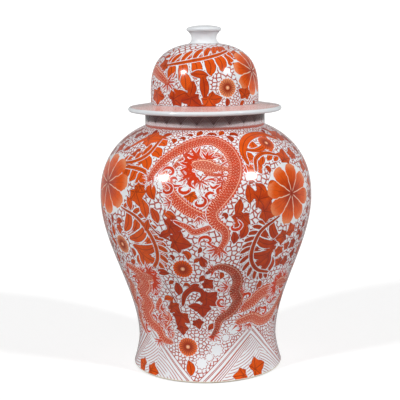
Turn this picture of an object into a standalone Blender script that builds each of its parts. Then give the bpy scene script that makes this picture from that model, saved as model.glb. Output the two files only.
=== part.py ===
"""Lidded porcelain baluster jar, built from its separately thrown and luted sections.

The jar is a foot ring, a lower and an upper body section and a neck collar. The lid is a brim, a dome,
a locating ring that drops inside the neck, and a knob. Every section is a turned shape: a closed profile
in the XZ plane with a Screw modifier about Z. Origin: centre of the foot's underside. Metres, +Z up.
"""

import math

import bpy

# ---------------------------------------------------------------- driving dimensions, metres
FACETS = 48                     # sides of every turned section
GAP = 0.0003                    # slip seam left between two luted sections
WALL = 0.0070                   # thickness of the thrown wall
LID_WALL = 0.0060

# The jar's outer wall: a flare from the foot up to the waist, an S-curve from the waist up to
# the belly, and a superellipse from the belly up to the root of the neck.
FOOT_RADIUS = 0.1250
WAIST_RADIUS = 0.1148
WAIST_HEIGHT = 0.0482
BELLY_RADIUS = 0.1737
BELLY_HEIGHT = 0.2833
NECK_BASE_HEIGHT = 0.3999
FLARE_POWER = 1.5
SHOULDER_REACH = 0.1314         # height above the belly at which the shoulder would close
SHOULDER_HEIGHT_POWER = 2.28
SHOULDER_RADIUS_POWER = 2.53

FOOT_HEIGHT = 0.0120            # height of the foot ring, and of the recess inside it
FOOT_EDGE = 0.0030              # rounding of the foot's outer lower edge
FOOT_INNER_RADIUS = 0.1095
FOOT_FACE_INNER_RADIUS = 0.1125
FLOOR_THICKNESS = 0.0090
FLOOR_CORNER = 0.0120           # rounding between the floor and the inside of the wall
BODY_SEAM_HEIGHT = 0.2250       # where the two thrown body sections are luted together

NECK_OUTER_RADIUS = 0.0976
NECK_INNER_RADIUS = 0.0906
NECK_RIM_HEIGHT = 0.4231
RIM_ROUNDING = 0.0020

BRIM_RADIUS = 0.1250
BRIM_EDGE_THICKNESS = 0.0072
BRIM_RISE = 0.0050              # how much the brim's top climbs from its edge to the dome
BRIM_EDGE_STEPS = 5
LOCATING_RING_RADIUS = 0.0882   # 2.4 mm of play inside the neck
LOCATING_RING_DEPTH = 0.0150
LOCATING_RING_THICKNESS = 0.0060

DOME_RADIUS = 0.0878
DOME_HEIGHT = 0.0964
DOME_RADIUS_POWER = 2.4         # superellipse: (r/R)^2.4 + (h/H)^3.5 = 1
DOME_HEIGHT_POWER = 3.5
DOME_STEPS = 12

KNOB_STEM_RADIUS = 0.0197
KNOB_FOOT_RADIUS = 0.0250
KNOB_LIP_RADIUS = 0.0281
KNOB_LIP_ROUNDING = 0.0033
KNOB_LIP_DROP = 0.0063          # from the knob's crown down to the middle of its lip
KNOB_CROWN_RISE = 0.0013
KNOB_HEIGHT = 0.0277            # above the top of the dome

# Heights that follow from the ones above.
BRIM_UNDERSIDE = NECK_RIM_HEIGHT + GAP
BRIM_EDGE_TOP = BRIM_UNDERSIDE + BRIM_EDGE_THICKNESS
BRIM_ROOT_TOP = BRIM_EDGE_TOP + BRIM_RISE
DOME_BASE = BRIM_ROOT_TOP + GAP
DOME_TOP = DOME_BASE + DOME_HEIGHT
KNOB_TOP = DOME_TOP + KNOB_HEIGHT

# Finishes: (colour, roughness).
PAINTED_GLAZE = ((0.70, 0.36, 0.28), 0.12)
WHITE_GLAZE = ((0.80, 0.82, 0.84), 0.12)
BARE_BISCUIT = ((0.78, 0.72, 0.62), 0.75)
MERGE_DISTANCE = 0.00002        # closes the turned seam and the poles


# ---------------------------------------------------------------- scene and helpers
def clear_scene():
    """Removes every object, so that the script can be run again."""
    for obj in list(bpy.data.objects):
        bpy.data.objects.remove(obj, do_unlink=True)


def new_material(name, finish):
    """The Principled material of one section."""
    colour, roughness = finish
    material = bpy.data.materials.new(name)
    material.use_nodes = True
    shader = material.node_tree.nodes["Principled BSDF"]
    shader.inputs["Base Color"].default_value = (*colour, 1.0)
    shader.inputs["Roughness"].default_value = roughness
    return material


def turned(name, profile, closed, finish, parent):
    """A solid of revolution. profile is (radius, height) pairs that run down the outer side;
    a closed one is a ring's section, and an open one starts and ends on the axis."""
    count = len(profile)
    edges = [(i, i + 1) for i in range(count - 1)]
    if closed:
        edges.append((count - 1, 0))
    mesh = bpy.data.meshes.new(name)
    mesh.from_pydata([(radius, 0.0, height) for radius, height in profile], edges, [])
    mesh.materials.append(new_material(name + "_finish", finish))
    obj = bpy.data.objects.new(name, mesh)
    parent.users_collection[0].objects.link(obj)
    obj.parent = parent
    screw = obj.modifiers.new("Turn", "SCREW")
    screw.axis = "Z"
    screw.angle = 2.0 * math.pi
    screw.steps = FACETS
    screw.render_steps = FACETS
    screw.use_merge_vertices = True
    screw.merge_threshold = MERGE_DISTANCE
    screw.use_smooth_shade = True
    return obj


def arc(centre, radius, start, end, steps):
    """Points of an arc in the profile plane; angles in degrees from +r towards +z."""
    points = []
    for i in range(steps + 1):
        angle = math.radians(start + (end - start) * i / steps)
        points.append((centre[0] + radius * math.cos(angle), centre[1] + radius * math.sin(angle)))
    return points


def spread(low, high, steps):
    """Evenly spaced values from low to high."""
    return [low + (high - low) * i / steps for i in range(steps + 1)]


# ---------------------------------------------------------------- the jar's wall as a function
def outer_radius(height):
    """Outer radius of the wall at a height.
    Flare: waist + (foot - waist)(1 - t)^1.5. S-curve: waist + (belly - waist)(3t^2 - 2t^3).
    Shoulder: belly (1 - t^2.28)^(1/2.53). t runs from 0 to 1 over each stretch."""
    if height < WAIST_HEIGHT:
        t = height / WAIST_HEIGHT
        return WAIST_RADIUS + (FOOT_RADIUS - WAIST_RADIUS) * (1 - t) ** FLARE_POWER
    if height < BELLY_HEIGHT:
        t = (height - WAIST_HEIGHT) / (BELLY_HEIGHT - WAIST_HEIGHT)
        return WAIST_RADIUS + (BELLY_RADIUS - WAIST_RADIUS) * (3 * t**2 - 2 * t**3)
    t = (height - BELLY_HEIGHT) / SHOULDER_REACH
    return BELLY_RADIUS * (1 - t**SHOULDER_HEIGHT_POWER) ** (1 / SHOULDER_RADIUS_POWER)


def inner_radius(height):
    """Inner radius, a wall's thickness inside the outer one measured square to the surface."""
    step = 0.0005
    slope = (outer_radius(height + step) - outer_radius(height - step)) / (2 * step)
    return max(outer_radius(height) - WALL * math.hypot(1.0, slope), NECK_INNER_RADIUS)


def outer_wall(bottom, top, steps):
    """Outer profile points, running down."""
    return [(outer_radius(z), z) for z in reversed(spread(bottom, top, steps))]


def inner_wall(bottom, top, steps):
    """Inner profile points, running up."""
    return [(inner_radius(z), z) for z in spread(bottom, top, steps)]


# ---------------------------------------------------------------- jar sections
def make_foot_ring(parent):
    """Trimmed foot: flared outside, rounded at its lower edge, flat where it stands."""
    top = FOOT_HEIGHT - GAP
    edge_radius = outer_radius(FOOT_EDGE)
    rounding = arc((edge_radius - FOOT_EDGE, FOOT_EDGE), FOOT_EDGE, 0, -90, 3)
    profile = [(outer_radius(top), top), *rounding]
    profile += [(FOOT_FACE_INNER_RADIUS, 0.0), (FOOT_INNER_RADIUS, FOOT_EDGE), (FOOT_INNER_RADIUS, top)]
    return turned("foot_ring", profile, True, BARE_BISCUIT, parent)


def make_lower_body(parent):
    """Lower thrown section, with the floor of the jar."""
    floor_top = FOOT_HEIGHT + FLOOR_THICKNESS
    wall_bottom = floor_top + FLOOR_CORNER
    corner = arc((inner_radius(wall_bottom) - FLOOR_CORNER, wall_bottom), FLOOR_CORNER, -90, 0, 3)
    seam = BODY_SEAM_HEIGHT - GAP
    profile = [(0.0, floor_top), *corner[:-1]]
    profile += inner_wall(wall_bottom, seam, 8)
    profile += outer_wall(FOOT_HEIGHT, seam, 10)
    profile += [(0.0, FOOT_HEIGHT)]
    return turned("lower_body", profile, False, PAINTED_GLAZE, parent)


def make_upper_body(parent):
    """Upper thrown section: the belly and the shoulder."""
    top = NECK_BASE_HEIGHT - GAP
    profile = inner_wall(BODY_SEAM_HEIGHT, top, 11) + outer_wall(BODY_SEAM_HEIGHT, top, 13)
    return turned("upper_body", profile, True, PAINTED_GLAZE, parent)


def make_neck_collar(parent):
    """Straight collar. Its bare rim carries the lid."""
    rounding_height = NECK_RIM_HEIGHT - RIM_ROUNDING
    outer = arc((NECK_OUTER_RADIUS - RIM_ROUNDING, rounding_height), RIM_ROUNDING, 90, 0, 3)
    inner = arc((NECK_INNER_RADIUS + RIM_ROUNDING, rounding_height), RIM_ROUNDING, 180, 90, 3)
    profile = [(NECK_INNER_RADIUS, NECK_BASE_HEIGHT), *inner]
    profile += [*outer, (NECK_OUTER_RADIUS, NECK_BASE_HEIGHT)]
    return turned("neck_collar", profile, True, PAINTED_GLAZE, parent)


# ---------------------------------------------------------------- lid sections
def make_lid_brim(parent):
    """Flat ring with a half-round edge. Its top climbs to the foot of the dome."""
    half = BRIM_EDGE_THICKNESS / 2
    inner = DOME_RADIUS - LID_WALL
    profile = [(inner, BRIM_UNDERSIDE), (inner, BRIM_ROOT_TOP)]
    profile += [(DOME_RADIUS + LID_WALL / 4, BRIM_ROOT_TOP)]
    profile += arc((BRIM_RADIUS - half, BRIM_UNDERSIDE + half), half, 90, -90, BRIM_EDGE_STEPS)
    return turned("lid_brim", profile, True, PAINTED_GLAZE, parent)


def make_locating_ring(parent):
    """Bare ring under the brim. It drops inside the neck and keeps the lid centred."""
    top = BRIM_UNDERSIDE - GAP
    bottom = top - LOCATING_RING_DEPTH
    inner = LOCATING_RING_RADIUS - LOCATING_RING_THICKNESS
    chamfer = LOCATING_RING_THICKNESS / 3
    profile = [
        (inner, bottom + chamfer),
        (inner, top),
        (LOCATING_RING_RADIUS, top),
        (LOCATING_RING_RADIUS, bottom + chamfer),
        (LOCATING_RING_RADIUS - chamfer, bottom),
        (inner + chamfer, bottom),
    ]
    return turned("locating_ring", profile, True, BARE_BISCUIT, parent)


def dome_curve(radius, height):
    """Superellipse from its base up to the axis, as (radius, height) pairs:
    r = R cos(a)^(2/2.4) and h = H sin(a)^(2/3.5)."""
    points = []
    for angle in spread(0.0, math.pi / 2, DOME_STEPS):
        across = max(math.cos(angle), 0.0) ** (2 / DOME_RADIUS_POWER)
        up = math.sin(angle) ** (2 / DOME_HEIGHT_POWER)
        points.append((radius * across, DOME_BASE + height * up))
    points[-1] = (0.0, DOME_BASE + height)
    return points


def dome_top_at(radius):
    """Height of the dome's outside at a radius."""
    fraction = (radius / DOME_RADIUS) ** DOME_RADIUS_POWER
    return DOME_BASE + DOME_HEIGHT * (1 - fraction) ** (1 / DOME_HEIGHT_POWER)


def make_lid_dome(parent):
    """Hollow dome of the lid, open below."""
    outside = dome_curve(DOME_RADIUS, DOME_HEIGHT)
    inside = dome_curve(DOME_RADIUS - LID_WALL, DOME_HEIGHT - LID_WALL)
    profile = list(reversed(outside)) + inside
    return turned("lid_dome", profile, False, PAINTED_GLAZE, parent)


def make_knob(parent):
    """Solid turned knob: a waisted stem that fits the dome, and a flared button with a low crown."""
    lip = KNOB_LIP_ROUNDING
    lip_centre = (KNOB_LIP_RADIUS - lip, KNOB_TOP - KNOB_LIP_DROP)
    foot = dome_top_at(KNOB_FOOT_RADIUS) + GAP
    stem = KNOB_STEM_RADIUS
    profile = [(0.0, KNOB_TOP), (stem, KNOB_TOP - KNOB_CROWN_RISE)]
    profile += arc(lip_centre, lip, 70, -80, 5)
    profile += [
        (stem + 0.0020, foot + 0.48 * KNOB_HEIGHT),
        (stem, foot + 0.30 * KNOB_HEIGHT),
        (stem + 0.0010, foot + 0.14 * KNOB_HEIGHT),
        (stem + 0.0030, foot + 0.04 * KNOB_HEIGHT),
    ]
    seat_radii = reversed(spread(0.0, KNOB_FOOT_RADIUS, 3))
    profile += [(radius, dome_top_at(radius) + GAP) for radius in seat_radii]
    return turned("knob", profile, False, WHITE_GLAZE, parent)


# ---------------------------------------------------------------- assembly
def make_group(name, collection, height):
    """An empty that carries a group of sections."""
    empty = bpy.data.objects.new(name, None)
    empty.location = (0.0, 0.0, height)
    collection.objects.link(empty)
    return empty


def seat(obj, parent):
    """Keeps a section in place after its parent empty has been raised."""
    obj.location.z = -parent.location.z


def main():
    clear_scene()
    collection = bpy.data.collections.new("ginger_jar")
    bpy.context.scene.collection.children.link(collection)
    jar = make_group("jar", collection, 0.0)
    lid = make_group("lid", collection, BRIM_UNDERSIDE)
    for make_section in (make_foot_ring, make_lower_body, make_upper_body, make_neck_collar):
        make_section(jar)
    for make_section in (make_lid_brim, make_locating_ring, make_lid_dome, make_knob):
        seat(make_section(lid), lid)


main()
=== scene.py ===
# %% [markdown]
# # A lidded porcelain jar painted in iron red
# A tall ginger jar: white porcelain, glazed, then painted over the glaze in orange and iron-red enamel
# with dragons, lotus blooms, curling ferns and small leaves on a ground of hand-drawn cells. The fixed
# frame gives the size and place of every thrown section. This script turns a fine skin for each section
# and paints it.

# %% Load the frame
import math

import bpy
import numpy as np
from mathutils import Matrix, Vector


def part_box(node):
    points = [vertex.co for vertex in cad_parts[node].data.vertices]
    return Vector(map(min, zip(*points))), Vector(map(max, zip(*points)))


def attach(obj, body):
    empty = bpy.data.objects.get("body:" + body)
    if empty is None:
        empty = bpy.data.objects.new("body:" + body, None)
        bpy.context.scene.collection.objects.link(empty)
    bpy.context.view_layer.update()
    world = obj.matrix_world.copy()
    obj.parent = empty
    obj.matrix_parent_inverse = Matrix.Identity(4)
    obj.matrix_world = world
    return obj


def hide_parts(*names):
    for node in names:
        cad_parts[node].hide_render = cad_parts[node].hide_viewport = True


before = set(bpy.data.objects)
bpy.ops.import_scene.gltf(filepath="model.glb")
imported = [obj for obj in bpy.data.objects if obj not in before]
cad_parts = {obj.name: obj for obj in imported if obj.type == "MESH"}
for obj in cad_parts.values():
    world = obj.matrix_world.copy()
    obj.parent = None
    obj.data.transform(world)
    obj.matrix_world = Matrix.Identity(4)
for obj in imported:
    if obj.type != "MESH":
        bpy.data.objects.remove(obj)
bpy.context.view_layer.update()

# %% [markdown]
# ## The jar's measures
# The heights and radii come from the frame's own nodes, so the skins can't drift away from the solids.
# Only the rule of each curve is repeated here.

# %% Measures from the frame
MM = 0.001


def reach(node):
    """Radius, lowest and highest point of a turned node, in metres."""
    low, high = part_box(node)
    return high[0], low[2], high[2]


foot_side, _, foot_top = reach("foot_ring")
belly_radius, _, _ = reach("upper_body")
neck_radius, neck_base, rim_height = reach("neck_collar")
brim_radius, brim_underside, brim_root_top = reach("lid_brim")
ring_radius, ring_bottom, ring_top = reach("locating_ring")
dome_radius, dome_base, dome_top = reach("lid_dome")
knob_radius, _, knob_top = reach("knob")

FOOT_EDGE = 3.0 * MM
WAIST_RADIUS = 114.8 * MM
WAIST_HEIGHT = 48.2 * MM
BELLY_HEIGHT = 283.3 * MM
SHOULDER_REACH = 131.4 * MM
WALL = 7.0 * MM
LID_WALL = 6.0 * MM
foot_radius = WAIST_RADIUS + (foot_side - WAIST_RADIUS) / (1 - FOOT_EDGE / WAIST_HEIGHT) ** 1.5
print("foot %.1f, belly %.1f, dome %.1f mm" % (foot_radius / MM, belly_radius / MM, dome_radius / MM))

# %% [markdown]
# ## Curves of the wall and the dome
# A potter's curve is smooth, so each is one formula evaluated for a whole array of heights at once.


# %% Profile formulas
def wall_radius(height):
    """Flare: waist + (foot - waist)(1 - t)^1.5. S-curve: waist + (belly - waist)(3t^2 - 2t^3).
    Shoulder: belly (1 - t^2.28)^(1/2.53). t runs from 0 to 1 over each stretch."""
    flare = np.clip(1 - height / WAIST_HEIGHT, 0, 1)
    swell = np.clip((height - WAIST_HEIGHT) / (BELLY_HEIGHT - WAIST_HEIGHT), 0, 1)
    turn_in = np.clip((height - BELLY_HEIGHT) / SHOULDER_REACH, 0, 0.999)
    foot = (foot_radius - WAIST_RADIUS) * flare**1.5
    side = WAIST_RADIUS + (belly_radius - WAIST_RADIUS) * (3 * swell**2 - 2 * swell**3)
    return (foot + side) * (1 - turn_in**2.28) ** (1 / 2.53)


def inside_radius(height):
    """The outer radius less the wall's thickness, measured square to the wall."""
    step = 0.5 * MM
    slope = (wall_radius(height + step) - wall_radius(height - step)) / (2 * step)
    return np.maximum(wall_radius(height) - WALL * np.hypot(1, slope), neck_radius - WALL)


def dome_strip(radius, rise, points):
    """Superellipse from the crown down: r = R cos(a)^(2/2.4), h = H sin(a)^(2/3.5)."""
    angle = np.linspace(math.pi / 2, 0, points)
    across = np.clip(np.cos(angle), 0, 1) ** (2 / 2.4)
    return radius * across, dome_base + rise * np.sin(angle) ** (2 / 3.5)


def arc_strip(centre, radius, start, end, points):
    """Arc in the profile plane: centre + radius (cos a, sin a), from start to end degrees."""
    angle = np.radians(np.linspace(start, end, points))
    return centre[0] + radius * np.cos(angle), centre[1] + radius * np.sin(angle)


def even_strip(radius, height, points):
    """The same curve with its points spread evenly along its length."""
    length = np.append(0, np.cumsum(np.hypot(np.diff(radius), np.diff(height))))
    wanted = np.linspace(0, length[-1], points)
    return np.interp(wanted, length, radius), np.interp(wanted, length, height)


print("wall inside the belly: radius %.1f mm" % (inside_radius(BELLY_HEIGHT) / MM))

# %% [markdown]
# ## Turning a section
# A section is a list of strips: the outside from top to bottom, then the inside from bottom to top.
# Strips may have different finishes, and the last one joins the first, so the section is a closed body.
# The exact normals of the curve are stored too, so that highlights run over a luted seam unbroken.


# %% Turned skins
START_TURN = math.radians(86)


def add_object(name, data):
    """A new object in the scene, at the origin."""
    made = bpy.data.objects.new(name, data)
    bpy.context.scene.collection.objects.link(made)
    return made


def store_layer(piece, name, values, domain="POINT"):
    """Writes one number, or one row of three, for each point or face corner as a named attribute."""
    kind, field = ("FLOAT", "value") if values.ndim == 1 else ("FLOAT_VECTOR", "vector")
    piece.data.attributes.new(name, kind, domain).data.foreach_set(field, values.ravel())


def strip_normals(radius, height):
    """The strip's direction turned a quarter turn: (-dz, dr), as unit vectors."""
    order = 2 if len(radius) > 2 else 1
    across, along = -np.gradient(height, edge_order=order), np.gradient(radius, edge_order=order)
    length = np.maximum(np.hypot(across, along), 1e-12)
    return across / length, along / length


def turned_section(name, strips, finishes, steps, body, node):
    """Revolves strips of (radius, height) about Z: x = r sin(a), y = -r cos(a).
    A strip that starts or ends on the axis closes in a fan there."""
    radius = np.concatenate([s[0] for s in strips])
    height = np.concatenate([s[1] for s in strips])
    across, along = np.concatenate([strip_normals(*s) for s in strips], axis=1)
    strip_of_row = np.repeat(np.arange(len(strips)), [len(s[0]) for s in strips])
    azimuth = START_TURN + np.arange(steps) * 2 * math.pi / steps
    is_pole = radius < 1e-9
    count = np.where(is_pole, 1, steps)
    first = np.append(0, np.cumsum(count))[:-1]
    row = np.repeat(np.arange(len(radius)), count)
    column = np.arange(len(row)) - first[row]
    turn = azimuth[column]
    place = np.stack([radius[row] * np.sin(turn), -radius[row] * np.cos(turn), height[row]], axis=1)
    normal = np.stack([across[row] * np.sin(turn), -across[row] * np.cos(turn), along[row]], axis=1)
    j = np.arange(steps)
    k = (j + 1) % steps
    corners, columns, sizes, marks = [], [], [], []
    last = len(radius) - 1
    closing = [(last, 0)] if not is_pole[0] else []
    for upper, lower in [(i, i + 1) for i in range(last)] + closing:
        if is_pole[upper] and is_pole[lower]:
            continue
        if is_pole[upper]:
            face = np.stack([np.full(steps, first[upper]), first[lower] + j, first[lower] + k], axis=1)
            column_of = np.stack([j + 0.5, j, j + 1], axis=1)
        elif is_pole[lower]:
            face = np.stack([first[upper] + j, np.full(steps, first[lower]), first[upper] + k], axis=1)
            column_of = np.stack([j, j + 0.5, j + 1], axis=1)
        else:
            above, below = first[upper], first[lower]
            face = np.stack([above + j, below + j, below + k, above + k], axis=1)
            column_of = np.stack([j, j, j + 1, j + 1], axis=1)
        corners.append(face.ravel())
        columns.append(column_of.ravel())
        sizes.append(np.full(steps, face.shape[1]))
        marks.append(np.full(steps, finishes[strip_of_row[upper]][1]))
    mesh = bpy.data.meshes.new(name)
    loops, sizes = np.concatenate(corners), np.concatenate(sizes)
    mesh.vertices.add(len(place))
    mesh.vertices.foreach_set("co", place.ravel())
    mesh.loops.add(len(loops))
    mesh.loops.foreach_set("vertex_index", loops)
    mesh.polygons.add(len(sizes))
    mesh.polygons.foreach_set("loop_start", np.append(0, np.cumsum(sizes))[:-1])
    mesh.polygons.foreach_set("material_index", np.concatenate(marks))
    mesh.update(calc_edges=True)
    mesh.shade_smooth()
    mesh.normals_split_custom_set_from_vertices(normal)
    piece = add_object(name, mesh)
    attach(piece, body)
    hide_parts(node)
    skin = {"piece": piece, "row": row, "turn": turn, "radius": radius[row], "height": height[row]}
    skin["outside"] = strip_of_row[row] == 0
    skin["corner_vertex"] = loops
    skin["corner_turn"] = START_TURN + np.concatenate(columns) * 2 * math.pi / steps
    print("%s: %d faces" % (name, len(sizes)))
    return skin


# %% [markdown]
# ## The jar's four sections
# The foot's standing face, the neck's rim and the lid's locating ring are left bare of glaze, because a
# glazed face would fuse to the kiln shelf or to the lid. Each section names the finish of each strip.

# %% Jar sections
PAINT, WHITE, BARE, BAND = ("paint", 0), ("white", 1), ("bare", 2), ("band", 0)
SEAM_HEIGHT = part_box("upper_body")[0][2]
FLOOR_TOP = foot_top + 9.3 * MM
BARE_LINE = 3.6 * MM
STANDING_RADIUS = 112.5 * MM
FOOT_BORE = 109.5 * MM
FLOOR_RADIUS = 60 * MM
FLOOR_CORNER = 12 * MM


def wall_strip(bottom, top, points):
    """Outside of the wall, running down."""
    height = np.linspace(top, bottom, 4 * points)
    return even_strip(wall_radius(height), height, points)


def lining_strip(bottom, top, points):
    """Inside of the wall, running up."""
    height = np.linspace(bottom, top, 4 * points)
    return even_strip(inside_radius(height), height, points)


foot_edge_strip = arc_strip((wall_radius(BARE_LINE) - BARE_LINE, BARE_LINE), BARE_LINE, 0, -90, 7)
foot = turned_section(
    "trimmed_foot",
    [
        wall_strip(BARE_LINE, foot_top, 8),
        foot_edge_strip,
        (np.array([STANDING_RADIUS, FOOT_BORE]), np.array([0.0, FOOT_EDGE])),
        (np.array([FOOT_BORE, FOOT_BORE]), np.array([2 * FOOT_EDGE, foot_top])),
    ],
    [PAINT, BARE, BARE, WHITE],
    600, "jar", "foot_ring",
)
corner_centre = (inside_radius(33 * MM) - FLOOR_CORNER, FLOOR_TOP + FLOOR_CORNER)
lower = turned_section(
    "lower_wall",
    [
        wall_strip(foot_top, SEAM_HEIGHT, 126),
        (np.array([FLOOR_RADIUS, 0.0]), np.array([foot_top, foot_top])),
        (np.array([0.0, FLOOR_RADIUS]), np.array([FLOOR_TOP, FLOOR_TOP])),
        arc_strip(corner_centre, FLOOR_CORNER, -90, -12, 6),
        lining_strip(corner_centre[1], SEAM_HEIGHT, 20),
    ],
    [PAINT, WHITE, WHITE, WHITE, WHITE],
    600, "jar", "lower_body",
)
upper = turned_section(
    "upper_wall",
    [wall_strip(SEAM_HEIGHT, neck_base, 116), lining_strip(SEAM_HEIGHT, neck_base, 16)],
    [PAINT, WHITE],
    720, "jar", "upper_body",
)
RIM_ROUND = 2 * MM
rim_level = rim_height - RIM_ROUND
collar = turned_section(
    "neck_band",
    [
        (np.full(16, neck_radius), np.linspace(rim_level, neck_base, 16)),
        (np.full(4, neck_radius - WALL), np.linspace(neck_base, rim_level, 4)),
        arc_strip((neck_radius - WALL + RIM_ROUND, rim_level), RIM_ROUND, 180, 90, 6),
        arc_strip((neck_radius - RIM_ROUND, rim_level), RIM_ROUND, 90, 0, 6),
    ],
    [BAND, WHITE, BARE, BARE],
    480, "jar", "neck_collar",
)

# %% [markdown]
# ## The lid's four sections
# The brim has a rolled white edge, the dome is painted like the jar, and the knob is plain white.

# %% Lid sections
half_edge = 3.6 * MM
brim_edge = (brim_radius - half_edge, brim_underside + half_edge)
brim_root = dome_radius + LID_WALL / 4
brim_paint_edge = brim_radius - 5 * MM
brim_slope = (brim_root_top - brim_underside - 2 * half_edge) / (brim_edge[0] - brim_root)
brim_paint_drop = brim_root_top - (brim_paint_edge - brim_root) * brim_slope
brim = turned_section(
    "brim",
    [
        (np.linspace(brim_root, brim_paint_edge, 24), np.linspace(brim_root_top, brim_paint_drop, 24)),
        arc_strip(brim_edge, half_edge, 83, -90, 20),
        (np.array([neck_radius, dome_radius - LID_WALL]), np.full(2, brim_underside)),
        (np.array([dome_radius - LID_WALL, brim_root - MM]), np.full(2, brim_root_top)),
    ],
    [PAINT, WHITE, BARE, WHITE],
    480, "lid", "lid_brim",
)
dome_outside = even_strip(*dome_strip(dome_radius, dome_top - dome_base, 600), 130)
dome_inside = even_strip(*dome_strip(dome_radius - LID_WALL, dome_top - dome_base - LID_WALL, 300), 24)
dome = turned_section(
    "painted_dome",
    [dome_outside, (dome_inside[0][::-1], dome_inside[1][::-1])],
    [PAINT, WHITE],
    600, "lid", "lid_dome",
)
ring_bore = ring_radius - 6 * MM
chamfer = 2 * MM
locating = turned_section(
    "bare_locating_ring",
    [
        (np.full(2, ring_radius), np.array([ring_top, ring_bottom + chamfer])),
        (np.array([ring_radius - chamfer, ring_bore + chamfer]), np.full(2, ring_bottom)),
        (np.full(2, ring_bore), np.array([ring_bottom + chamfer, ring_top])),
    ],
    [BARE, BARE, BARE],
    240, "lid", "locating_ring",
)

# %% [markdown]
# ## The knob
# A button turned on the wheel: low crown, thick rounded lip, waisted stem and a foot that flares out to
# meet the dome. The stem's outline is a smooth curve between the lip and the foot.


# %% Knob
STEM_RADIUS = 19.7 * MM
LIP_FLARE = 4.2 * MM
STEM_FOOT_FLARE = 5.3 * MM
SEAT_GAP = 0.3 * MM


def dome_height_at(radius):
    """Height of the dome's outside: base + H (1 - (r/R)^2.4)^(1/3.5)."""
    return dome_base + (dome_top - dome_base) * (1 - (radius / dome_radius) ** 2.4) ** (1 / 3.5)


def stem_strip(points):
    """Waisted stem: r = stem + lip flare (1 - t)^4 + foot flare t^5, with t running down."""
    t = np.linspace(0, 1, points)
    foot_height = dome_height_at(STEM_RADIUS + STEM_FOOT_FLARE) + SEAT_GAP
    under_lip = knob_top - 11.5 * MM
    radius = STEM_RADIUS + LIP_FLARE * (1 - t) ** 4 + STEM_FOOT_FLARE * t**5
    return radius, under_lip + (foot_height - under_lip) * t


lip = 3.3 * MM
lip_centre = (knob_radius - lip, knob_top - 6.3 * MM)
crown_radius = np.linspace(0, lip_centre[0], 14)
crown = (crown_radius, knob_top - 3.0 * MM * (crown_radius / lip_centre[0]) ** 2.6)
knob_seat = np.linspace(24.5 * MM, 0, 6)
knob = turned_section(
    "button_knob",
    [
        crown,
        arc_strip(lip_centre, lip, 80, -85, 18),
        stem_strip(24),
        (knob_seat, dome_height_at(knob_seat) + SEAT_GAP),
    ],
    [WHITE, WHITE, WHITE, BARE],
    192, "lid", "knob",
)

# %% [markdown]
# ## A canvas for the brush
# The design is laid out the way a painter lays it out on the pot: by direction round the jar, in degrees
# from the front, and by height in millimetres. Each vertex of the outside is a point of the canvas.
# Two points that are near each other are dx = (difference in angle) x (mean radius) apart sideways and
# dy = (difference in arc length) apart up the wall.


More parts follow.
